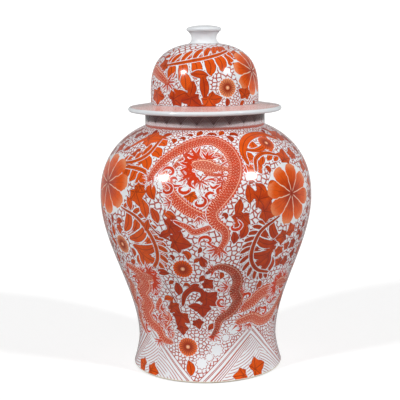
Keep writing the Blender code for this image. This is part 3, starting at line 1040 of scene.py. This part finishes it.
def use_group(tree, group, **values):
    """Places a group in a tree and returns it with its outputs as wires."""
    node = tree.nodes.new("ShaderNodeGroup")
    node.node_tree = group
    for label, value in values.items():
        socket = node.inputs[label.replace("_", " ")]
        if isinstance(value, Wire):
            tree.links.new(value.socket, socket)
        else:
            socket.default_value = value
    return [Wire(tree, s) for s in node.outputs]


print("a wire answers to:", [n for n in vars(Wire) if n.startswith("__") and len(n) < 12])

# %% [markdown]
# ## Flowers
# Lotus and aster are the same construction with other numbers: a wheel of petals. The angle round the
# bloom, divided by the petal's share of the circle, says where across a petal a point lies.


# %% Petal wheel
def petal_wheel():
    """Across a petal, a = 2 |fraction of the turn - 1/2|, from 0 on its midline to 1 between petals.
    Its tip is at 1 - depth a^3 of the radius."""
    tree, (x, y, radius, petals, tip, depth), leave = new_group(
        "petal wheel",
        ["X", "Y", "Radius", "Petals", "Tip depth", "Depth"],
        [(n, "NodeSocketFloat") for n in ("Inside", "Gap", "Vein", "Outward")],
    )
    wobble = (noise(tree, 120) - 0.5) * 0.10
    rho = calc("SQRT", x * x + y * y)
    turn = calc("ARCTAN2", y, x) / (2 * math.pi) + 1.0 + wobble * 0.25
    a = absolute(part(turn * petals) - 0.5) * 2.0
    edge = calc("MINIMUM", (1.0 - tip * a * a * a + wobble - rho) * radius, depth + 8.0)
    width = rho * radius * math.pi / petals
    from_side = (1.0 - a) * width
    outputs = {
        "Inside": ramp(edge, -0.3, 0.5) * ramp(radius, 1.0, 2.0),
        "Gap": ramp(from_side, 0.85, 0.35) * ramp(rho, 0.05, 0.16),
        "Vein": either(ramp(a * width, 0.42, 0.12), ramp(absolute(a - 0.5) * width, 0.35, 0.1) * 0.6),
        "Outward": rho,
    }
    for label, wire in outputs.items():
        tree.links.new(wire.socket, leave.inputs[label])
    return tree


wheel = petal_wheel()
print("petal wheel:", len(wheel.nodes), "nodes")

# %% [markdown]
# ## The whole painting in one group
# The layers go on in the painter's order: the cell ground, kept off the motifs by a white margin, then
# leaves, ferns, dragons and flowers. Iron-red enamel is thin, so it pools dark at a stroke's edge and
# shows paler where the brush ran dry.

# %% Enamel colours
PORCELAIN = (0.80, 0.815, 0.84)
ORANGE = (0.76, 0.095, 0.004)
RED = (0.42, 0.030, 0.004)
BROWN_RED = (0.14, 0.016, 0.006)
PALE_ORANGE = (0.80, 0.30, 0.13)
LINE_RED = (0.38, 0.042, 0.010)
DRAGON_DARK = (0.24, 0.020, 0.008)
DRAGON_RED = (0.60, 0.040, 0.007)
DRAGON_PINK_AND_SHEEN = (0.55, 0.075, 0.036)
DRAGON_PALE = (0.86, 0.58, 0.42)
CREAM = (0.86, 0.68, 0.50)
BAND_BROWN_AND_SHADE = (0.10, 0.014, 0.008)
print("thick iron red is %.0f times as red as it is green" % (RED[0] / RED[1]))

# %% [markdown]
# ## Cells and leaves
# The ground is a net of small cells, drawn with a fine liner between the motifs. A leaf is one loaded
# stroke for each lobe, then an outline, a midrib and veins. A white margin is left round everything.

# %% Ground and leaf
def ground_cells(tree, wobble):
    """Thin brown-red lines round small uneven cells."""
    place = tree.nodes.new("ShaderNodeAttribute")
    place.attribute_name = "cells"
    cells = tree.nodes.new("ShaderNodeTexVoronoi")
    cells.feature = "DISTANCE_TO_EDGE"
    cells.voronoi_dimensions = "2D"
    cells.inputs["Scale"].default_value = 1 / 7.4
    cells.inputs["Randomness"].default_value = 0.8
    tree.links.new(place.outputs["Vector"], cells.inputs["Vector"])
    thickness = noise(tree, 260) * 0.10
    return ramp(Wire(tree, cells.outputs["Distance"]) - thickness + wobble * 0.03, 0.11, 0.05)


def outline(edge, depth, width=0.9):
    """Where a motif is, and where its white margin is. The stored depth guards the places that lie
    between two motifs, where u and v jump."""
    safe = calc("MINIMUM", edge, depth + 1.2)
    wide = calc("MINIMUM", edge, depth + 2.2) + width
    return ramp(safe, -0.1, 0.35), ramp(wide, -0.2, 0.2)


def leaf_layer(tree, family, wobble):
    """Leaf or fern lobe with a dark outline, a midrib and side veins that slant back from it."""
    u, v, w, depth, tone = stored(tree, family)
    edge = w - absolute(v) + wobble
    inside, margin = outline(edge, depth, calc("MINIMUM", w * 0.36, 1.7) if family != "sprig" else 0.9)
    rib = ramp(absolute(v), 0.9, 0.4) * ramp(w, 1.4, 2.4)
    veins = stripes(u + absolute(v) * 0.8, 3.0, 0.36, 0.12) * ramp(w, 2.0, 3.5) * 0.45
    return inside, margin, either(rib * 0.9, veins, ramp(edge, 1.3, 0.6)), tone


print("ground and leaf layers ready")

# %% [markdown]
# ## Scales, clouds and waves
# A dragon's scales are rows of dots and arcs, each row shifted by half a scale. A cloud is a reserve of
# bare glaze with a scalloped outline. The foot's waves are parallel strokes between plain bands.

# %% Dragon, cloud and border
def dragon_layer(tree, family, wobble):
    """Scales: rows of pale arcs with a dot in each, every other row shifted by half a scale. Belly ribs
    run down one side, and fin spines stand up on the other."""
    u, v, w, depth, tone = stored(tree, family)
    row = calc("FLOOR", v / 4.0)
    shift = calc("MODULO", absolute(row), 2.0) * 0.5
    x = part(u / 4.8 + shift) - 0.5
    y = part(v / 4.0)
    from_root = calc("SQRT", x * x + y * y) + wobble * 0.08
    scales = either(ramp(absolute(from_root - 0.66), 0.08, 0.03) * 0.5, ramp(from_root, 0.30, 0.20))
    spines = (ramp(v, 0.0, 1.0) * 0.7 + 0.4) * calc("PINGPONG", u, 2.6)
    edge = w + spines * ramp(w, 5.0, 7.0) - absolute(v) + wobble
    inside, margin = outline(edge, depth + 2.0)
    share = v / calc("MAXIMUM", w, 0.1)
    ribs = ramp(share, -0.52, -0.60) * stripes(u, 3.2, 0.768, 0.448)
    ridge = ramp(absolute(share - 0.74) * w, 0.8, 0.35)
    body = ramp(w, 2.5, 4.0) * ramp(edge, 0.8, 1.3)
    light = either(scales * ramp(share, -0.6, -0.5), ribs, ridge) * body
    return inside, margin, light, tone


def cloud_layer(tree, wobble):
    """White patch with a scalloped red outline."""
    x, y, radius, depth, _ = stored(tree, "cloud")
    lobes = calc("SINE", calc("PINGPONG", calc("ARCTAN2", y, x) * (4.5 / math.pi) + 9.0, 0.5) * math.pi)
    reach_in = radius * (0.80 + 0.20 * lobes) - calc("SQRT", x * x + y * y) * radius + wobble
    inside, _ = outline(reach_in, depth)
    second = ramp(absolute(reach_in - 3.6), 0.55, 0.25) * ramp(radius, 14.0, 15.0)
    return inside, either(ramp(absolute(reach_in - 0.9), 0.8, 0.4), second)


def border_layer(tree, wobble):
    """Foot border: edge lines of the bands, and strokes across the fans. Returns zone and lines."""
    inside, rising, fan = stored(tree, "border", ("",))
    inside = inside - 100.0 + wobble * 0.4
    zone = ramp(inside, -3.6, -3.0)
    lines = either(*(ramp(absolute(inside - d), 0.75, 0.4) for d in (-3.2, 2.2, 4.0, 9.5)))
    straight = stripes(inside, 3.0, 0.7, 0.4) * ramp(inside, 9.5, 10.0)
    straight = straight * ramp(inside, 22.0, 21.0) * rising
    strokes = stripes(fan + wobble * 0.516, 4.3, 0.8, 0.45) * ramp(inside, 10.5, 12.0)
    strokes = strokes * (1.0 - rising * ramp(inside, 22.0, 21.0)) * ramp(noise(tree, 42), 0.30, 0.42)
    return zone, either(lines, straight, strokes * 0.85)


print("dragon, cloud and border layers ready")

# %% [markdown]
# ## Laying one colour over another
# Each layer covers what lies under it by its own mask. The group also says where there is enamel, so the
# glaze material can raise it slightly and take a little of its shine away.

# %% Painted decoration
def painted_decoration():
    """Colour, and cover of enamel, of the whole painting."""
    tree, _, leave = new_group(
        "painted decoration",
        [],
        [("Color", "NodeSocketColor"), ("Enamel", "NodeSocketFloat")],
    )
    wobble = (noise(tree, 420) - 0.5) * 1.2
    wash = noise(tree, 95, 4.0)
    streak = noise(tree, 520, 2.0)
    node = tree.nodes.new("ShaderNodeAttribute")
    node.attribute_name = "room"
    room = Wire(tree, node.outputs["Fac"])
    zone, border_lines = border_layer(tree, wobble)
    line_colour = blend(ramp(wash, 0.3, 0.7), LINE_RED, RED)
    lines = either(ground_cells(tree, wobble) * ramp(room, 0.7, 1.1) * (1.0 - zone), border_lines)

    inside, rim = cloud_layer(tree, wobble)
    lines = either(lines * (1.0 - inside), inside * rim)
    colour = blend(lines * 0.95, PORCELAIN, line_colour)

    enamel = lines
    for family in ("frond", "fern", "sprig"):
        inside, margin, dark, tone = leaf_layer(tree, family, wobble)
        # A leaf's tone picks red or orange; where the tables give low tones under the belly, the red is
        # partly painted shade.
        leaf_colour = blend(ramp(tone + (wash - 0.5) * 0.7, 0.1, 0.75), RED, ORANGE)
        colour = blend(margin, colour, PORCELAIN)
        colour = blend(inside, colour, blend(dark * 0.75, leaf_colour, BROWN_RED))
        enamel = either(enamel * (1.0 - margin), inside)

    for family in ("coil", "dragon"):
        inside, margin, light, tone = dragon_layer(tree, family, wobble)
        tone = tone + (wash - 0.5) * 0.3
        # Tone gives dark red, red, then pink: part of the dark is painted shade under the belly, and part
        # of the pink a painted sheen on the dragons low at the sides.
        dragon_colour = blend(ramp(tone, 0.15, 0.5), DRAGON_DARK, DRAGON_RED)
        dragon_colour = blend(ramp(tone, 0.6, 0.85), dragon_colour, DRAGON_PINK_AND_SHEEN)
        pale = light * (0.36 + ramp(tone, 0.1, 0.6) * 0.5)
        colour = blend(margin, colour, PORCELAIN)
        colour = blend(inside, colour, blend(pale, dragon_colour, DRAGON_PALE))
        enamel = either(enamel * (1.0 - margin), inside * (1.0 - light * 0.6))

    x, y, radius, depth, _ = stored(tree, "lotus")
    petal, gap, vein, outward = use_group(
        tree, wheel, X=x, Y=y, Radius=radius, Petals=8.0, Tip_depth=0.30, Depth=depth
    )
    bloom_colour = blend(ramp(outward + (wash - 0.5) * 0.6, 0.1, 0.8), RED, ORANGE)
    bloom_colour = blend(vein * 0.6 * ramp(outward, 0.95, 0.7), bloom_colour, BROWN_RED)
    faded = ramp(outward + (streak - 0.5) * 0.25, 0.72, 1.02) * 0.8
    bloom_colour = blend(faded, bloom_colour, PALE_ORANGE)
    bloom_colour = blend(gap, bloom_colour, CREAM)
    colour = blend(petal, colour, bloom_colour)

    x, y, radius, depth, tone = stored(tree, "aster")
    ray, gap_a, vein, outward = use_group(
        tree, wheel, X=x, Y=y, Radius=radius, Petals=20.0, Tip_depth=0.12, Depth=depth
    )
    ray_colour = blend(ramp(outward, 0.2, 1.0), RED, blend(ramp(tone, 0.3, 0.9), ORANGE, PALE_ORANGE))
    ray_colour = blend(gap_a * 0.55, ray_colour, BROWN_RED)
    ray_colour = blend(ramp(outward, 0.25, 0.17), ray_colour, PALE_ORANGE)
    ray_colour = blend(ramp(outward, 0.11, 0.06), ray_colour, CREAM)
    colour = blend(ray, colour, ray_colour)
    enamel = either(enamel, petal * (1.0 - gap), ray)

    tree.links.new(colour.socket, leave.inputs["Color"])
    tree.links.new(enamel.socket, leave.inputs["Enamel"])
    return tree


decoration = painted_decoration()
print("painted decoration:", len(decoration.nodes), "nodes")

# %% [markdown]
# ## Glaze and biscuit
# Glaze is glass: very smooth, with the faint ripple that shows in its highlights. Overglaze enamel sits
# on it, a little proud and a little less bright. The bare biscuit is dry, off-white and slightly sandy.


# %% Finishes
def glaze_ripple():
    """Height of the glaze's slow ripple and of the finest pits, about 0 to 1."""
    tree, _, leave = new_group("glaze ripple", [], [("Height", "NodeSocketFloat")])
    height = noise(tree, 38, 1.0) * 0.8 + noise(tree, 900, 1.0) * 0.04
    tree.links.new(height.socket, leave.inputs["Height"])
    return tree


ripple = glaze_ripple()
ENAMEL_RISE = 0.05


def new_finish(name, roughness):
    """A material with a plain shader. Returns the material, its tree and its shader."""
    material = bpy.data.materials.new(name)
    material.use_nodes = True
    tree = material.node_tree
    shader = tree.nodes["Principled BSDF"]
    shader.inputs["Roughness"].default_value = roughness
    shader.inputs["IOR"].default_value = 1.50
    return material, tree, shader


def add_relief(tree, shader, height, strength, distance):
    """A Bump node from a height wire to the shader's normal."""
    bump = tree.nodes.new("ShaderNodeBump")
    bump.inputs["Strength"].default_value = strength
    bump.inputs["Distance"].default_value = distance
    tree.links.new(height.socket, bump.inputs["Height"])
    tree.links.new(bump.outputs["Normal"], shader.inputs["Normal"])


def close_glaze(tree, shader, colour, enamel=0.0):
    """Colour and relief of a glazed face: the ripple, with the enamel a little proud of it."""
    height, = use_group(tree, ripple)
    tree.links.new(colour.socket, shader.inputs["Base Color"])
    add_relief(tree, shader, height + enamel * ENAMEL_RISE, 0.5, 0.6 * MM)


def painted_glaze():
    """Glaze with the painting over it."""
    material, tree, shader = new_finish("iron red over white glaze", 0.1)
    colour, enamel = use_group(tree, decoration)
    tree.links.new((0.11 + enamel * 0.05).socket, shader.inputs["Roughness"])
    close_glaze(tree, shader, colour, enamel)
    return material


def white_glaze():
    """Plain glaze, faintly blue where it lies thick."""
    material, tree, shader = new_finish("white glaze", 0.09)
    colour = blend(noise(tree, 60), (0.83, 0.84, 0.85), (0.72, 0.76, 0.80))
    close_glaze(tree, shader, colour)
    return material


def bare_biscuit():
    """Unglazed porcelain, warm and sandy."""
    material, tree, shader = new_finish("bare biscuit", 0.75)
    colour = blend(ramp(noise(tree, 500, 4.0), 0.35, 0.75), (0.74, 0.66, 0.52), (0.80, 0.75, 0.66))
    colour = blend(ramp(noise(tree, 30), 0.55, 0.75) * 0.4, colour, (0.55, 0.36, 0.20))
    tree.links.new(colour.socket, shader.inputs["Base Color"])
    add_relief(tree, shader, noise(tree, 1800, 3.0), 0.4, 0.3 * MM)
    return material


def banded_neck():
    """Neck band: a zigzag between two levels. The triangles that hang from the rim are filled nearly
    solid dark, which also paints part of the brim's shade; the ones that stand have slanting strokes; the
    top darkens brown towards the rim as painted shade under the brim; and a double line runs at the base."""
    material, tree, shader = new_finish("zigzag neck band", 0.1)
    around, level, _ = stored(tree, "band", ("",))
    wave = absolute(part(around / 26.0) - 0.5) * 2.0
    crest = 4.0 + wave * 15.0
    above = level - crest
    line = ramp(absolute(above), 0.85, 0.4)
    second = ramp(absolute(above - 2.2), 0.6, 0.3)
    slant = stripes(around + level, 2.0, 0.55, 0.3) * ramp(above, -1.2, -1.6)
    base_lines = either(ramp(absolute(level - 1.2), 1.7, 1.2), ramp(absolute(level - 3.3), 0.7, 0.4))
    # The hanging triangles are hatched enamel, filled nearly solid so that they also paint part of the
    # brim's shade.
    filled = ramp(above, 3.0, 3.6) * (0.97 - stripes(around - level, 2.6, 0.572, 0.312) * 0.3)
    marks = either(line, second, slant * ramp(level, 3.4, 4.0))
    colour = blend(marks * 0.9, PORCELAIN, blend(noise(tree, 95, 4.0), BROWN_RED, RED))
    # Painted shade: the band darkens brown towards the rim, where the brim casts its shadow.
    colour = blend(either(filled, ramp(level, 7.0, 14.0) * 0.72), colour, BAND_BROWN_AND_SHADE)
    colour = blend(base_lines * 0.95, colour, LINE_RED)
    marks = either(marks, filled, base_lines)
    close_glaze(tree, shader, colour, marks)
    return material


def brim_glaze():
    """Top of the brim: a mesh of very fine pale lines, washed pink."""
    material, tree, shader = new_finish("pink cell brim", 0.1)
    place = tree.nodes.new("ShaderNodeTexCoord")
    cells = tree.nodes.new("ShaderNodeTexVoronoi")
    cells.feature = "DISTANCE_TO_EDGE"
    cells.inputs["Scale"].default_value = 300.0
    tree.links.new(place.outputs["Object"], cells.inputs["Vector"])
    lines = ramp(Wire(tree, cells.outputs["Distance"]), 0.13, 0.05)
    pink = blend(noise(tree, 60, 3.0), (0.82, 0.66, 0.65), (0.80, 0.52, 0.48))
    colour = blend(lines * 0.5, pink, (0.62, 0.16, 0.09))
    close_glaze(tree, shader, colour)
    return material


# %% [markdown]
# ## Dressing the sections
# Each section carries three materials in the order of its strips' finishes: its own outside, white glaze
# inside, and bare biscuit where it stood in the kiln. The neck also gets the place of its zigzag.

# %% Dress the sections
finish_paint, finish_white = painted_glaze(), white_glaze()
finish_bare, finish_band, finish_brim = bare_biscuit(), banded_neck(), brim_glaze()
for skin, outer in (
    (foot, finish_paint), (lower, finish_paint), (upper, finish_paint), (dome, finish_paint),
    (collar, finish_band), (brim, finish_brim), (locating, finish_bare), (knob, finish_white),
):
    for finish in (outer, finish_white, finish_bare):
        skin["piece"].data.materials.append(finish)
around = (collar["turn"] + math.pi) % (2 * math.pi) - math.pi
band = np.stack([around * neck_radius / MM, (collar["height"] - neck_base) / MM, 0 * around], axis=1)
store_layer(collar["piece"], "band", band)
print("finishes:", [m.name for m in bpy.data.materials if m.users])

# %% [markdown]
# ## Floor, light and camera
# A white sweep of paper runs under the jar and up behind it. Two round studio lamps stand in front, one
# on each side, a third of the way up. They make the pair of highlights on the shoulder and on the lid,
# and the brim's shadow on the neck, which the neck band's painted shade makes deeper. The paper is grey
# with a glow that only the camera sees, so it shows nearly white without throwing a pale veil over the
# glaze.


# %% Paper sweep
def paper_sweep(width, front, back, bend, height):
    """Flat floor, a quarter circle of radius bend, then an upright wall: a profile swept along X."""
    angle = np.linspace(0, math.pi / 2, 24)
    y = np.concatenate([[front], back - bend + bend * np.sin(angle), [back]])
    z = np.concatenate([[0], bend * (1 - np.cos(angle)), [height]]) - 0.5 * MM
    count = len(y)
    place = np.zeros((2, count, 3))
    place[:, :, 0] = np.array([-width / 2, width / 2])[:, None]
    place[:, :, 1], place[:, :, 2] = y, z
    i = np.arange(count - 1)
    face = np.stack([i, i + count, i + count + 1, i + 1], axis=1)
    mesh = bpy.data.meshes.new("paper_sweep")
    mesh.from_pydata(place.reshape(-1, 3), [], face.tolist())
    mesh.shade_smooth()
    return add_object("paper_sweep", mesh)


floor = paper_sweep(14, -6, 3.2, 1.6, 6)
paper, paper_tree, paper_shader = new_finish("white paper", 0.95)
paper_colour = blend(noise(paper_tree, 2.0), (0.34, 0.34, 0.34), (0.36, 0.36, 0.36))
paper_tree.links.new(paper_colour.socket, paper_shader.inputs["Base Color"])
paper_shader.inputs["Emission Color"].default_value = (1, 1, 1, 1)
seen = paper_tree.nodes.new("ShaderNodeLightPath")
glow = Wire(paper_tree, seen.outputs["Is Camera Ray"]) * 0.72
paper_tree.links.new(glow.socket, paper_shader.inputs["Emission Strength"])
floor.data.materials.append(paper)
print("paper sweep: %d faces" % len(floor.data.polygons))

# %% [markdown]
# ## Lamps, room and camera
# The room is white to the camera and dim to everything else, for the same reason as the paper. The camera
# looks a little down on the jar through a long lens and leans by less than a degree.

# %% Lamps, room and camera
LAMP_POWER = 2.3
world = bpy.data.worlds.new("studio")
bpy.context.scene.world = world
world.use_nodes = True
room_light = world.node_tree.nodes["Background"]
room_light.inputs["Color"].default_value = (1, 1, 1, 1)
paths = world.node_tree.nodes.new("ShaderNodeLightPath")
strength = world.node_tree.nodes.new("ShaderNodeMapRange")
strength.inputs["To Min"].default_value = 0.12
strength.inputs["To Max"].default_value = 1.0
world.node_tree.links.new(paths.outputs["Is Camera Ray"], strength.inputs["Value"])
world.node_tree.links.new(strength.outputs["Result"], room_light.inputs["Strength"])


def studio_lamp(name, azimuth, elevation, width, power):
    """A distant lamp: azimuth from straight in front, elevation above the floor, width as seen from
    the jar, all in degrees."""
    light = bpy.data.lights.new(name, "SUN")
    light.angle = math.radians(width)
    light.energy = power
    lamp = add_object(name, light)
    lamp.rotation_euler = (math.radians(90 - elevation), 0, math.radians(azimuth))


studio_lamp("left_lamp", -51.5, 29.5, 6, LAMP_POWER)
studio_lamp("right_lamp", 56.5, 30.0, 6, LAMP_POWER)

camera_data = bpy.data.cameras.new("camera")
camera_data.lens = 93.5
camera_data.sensor_width = 36
camera = add_object("camera", camera_data)
camera.location = (-0.0061, -1.698, 0.5605)
camera.rotation_euler = (math.radians(90 - 9.56), math.radians(0.74), 0)
bpy.context.scene.camera = camera
bpy.context.scene.view_settings.view_transform = "Standard"
print("two lamps, and a camera %.2f m away" % math.hypot(*camera.location[:2]))

# %% [markdown]
# The painted jar has to fill the same box as the solids it stands for.
